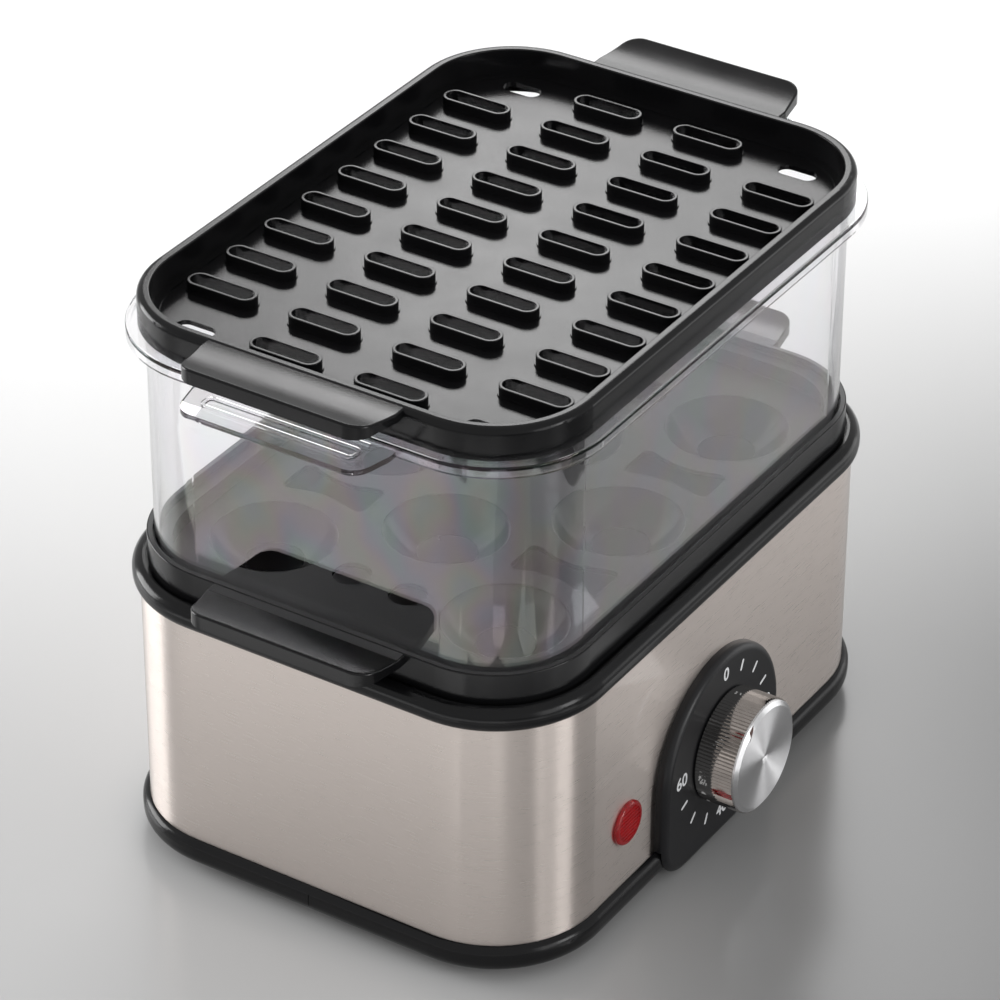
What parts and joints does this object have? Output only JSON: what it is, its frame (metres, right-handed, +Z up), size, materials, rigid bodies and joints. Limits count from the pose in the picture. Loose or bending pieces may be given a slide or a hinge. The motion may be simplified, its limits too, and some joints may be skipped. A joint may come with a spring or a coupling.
{
  "type": "electric egg boiler",
  "caption": "Two-tier electric egg boiler and steamer: brushed steel base with a timer knob, black egg tray, clear tier and slotted steaming tray.",
  "frame": {"origin": "on the table, under the middle of the object's box", "axes": "+X along the long side, -Y towards the timer knob, +Z up"},
  "size_m": [0.2712, 0.1958, 0.2139],
  "materials": {
    "brushed_steel": "fine horizontal brush",
    "black_plastic": "satin, fine grain",
    "clear_plastic": "clear moulded plastic",
    "chrome": "bright, knurled",
    "spun_aluminium": "spun face",
    "pointer_red": "dark inlay",
    "red_lens": "translucent red",
    "rubber": "matt",
    "silicone": "soft, pale",
    "basin_metal": "drawn, dull",
    "bare_aluminium": "rolled",
    "bright_steel": "zinc plated",
    "element_steel": "heat darkened",
    "ceramic": "unglazed",
    "brass": "plain",
    "grey_plastic": "moulded",
    "neon_glass": "clear",
    "brown_lead": "insulation",
    "blue_lead": "insulation",
    "green_lead": "insulation"
  },
  "bodies": {
    "base": {"outer_shell": "brushed_steel", "top_bezel": "black_plastic", "base_housing": "black_plastic", "bottom_cover": "black_plastic", "cover_screws": "bright_steel", "rubber_feet": "rubber", "tie_screws": "bright_steel", "water_basin": "basin_metal", "basin_gasket": "silicone", "heat_spreader": "bare_aluminium", "heating_element": "element_steel", "element_clamps": "bright_steel", "clamp_rivets": "bright_steel", "thermostat": "ceramic", "thermostat_screws": "bright_steel", "thermal_fuse": "ceramic", "earth_tab": "brass", "control_panel": "black_plastic", "indicator_lens": "red_lens", "lamp_holder": "grey_plastic", "neon_lamp": "neon_glass", "timer_plate": "bright_steel", "timer_screws": "bright_steel", "timer_case": "grey_plastic", "timer_contacts": "brass", "bell_post": "bright_steel", "timer_bell": "bright_steel", "cord_gland": "black_plastic", "gland_nut": "black_plastic", "terminal_block": "grey_plastic", "terminal_screws": "brass", "lamp_lead": "blue_lead", "live_lead": "brown_lead", "switched_lead": "brown_lead", "element_lead": "brown_lead", "neutral_lead": "blue_lead", "earth_lead": "green_lead"},
    "knob": {"knob_skirt": "chrome", "knob_face": "spun_aluminium", "knob_pointer": "pointer_red", "timer_shaft": "bright_steel", "drive_wheel": "brass", "switch_cam": "grey_plastic"},
    "pinion": {"escape_pinion": "brass"},
    "egg_tray": {"egg_tray": "black_plastic"},
    "clear_tier": {"clear_tier": "clear_plastic"},
    "steam_tray": {"steam_tray": "black_plastic"}
  },
  "joints": [
    {"name": "timer_knob", "type": "hinge", "parent": "base", "child": "knob", "pos_m": [-0.0025, -0.08165, 0.039], "axis": [0, 1, 0], "range_deg": [0, 291]},
    {"name": "pinion_spin", "type": "hinge", "parent": "base", "child": "pinion", "pos_m": [0.01438, -0.0662, 0.039], "axis": [0, 1, 0], "range_deg": [-727.5, 0]},
    {"name": "egg_tray_lift", "type": "slide", "parent": "base", "child": "egg_tray", "axis": [0, 0, 1], "range_m": [0, 0.03]},
    {"name": "clear_tier_lift", "type": "slide", "parent": "egg_tray", "child": "clear_tier", "axis": [0, 0, 1], "range_m": [0, 0.04]},
    {"name": "steam_tray_lift", "type": "slide", "parent": "clear_tier", "child": "steam_tray", "axis": [0, 0, 1], "range_m": [0, 0.025]}
  ],
  "couplings": [
    {"joint": "pinion_spin", "follows": "timer_knob", "ratio": -2.5}
  ]
}
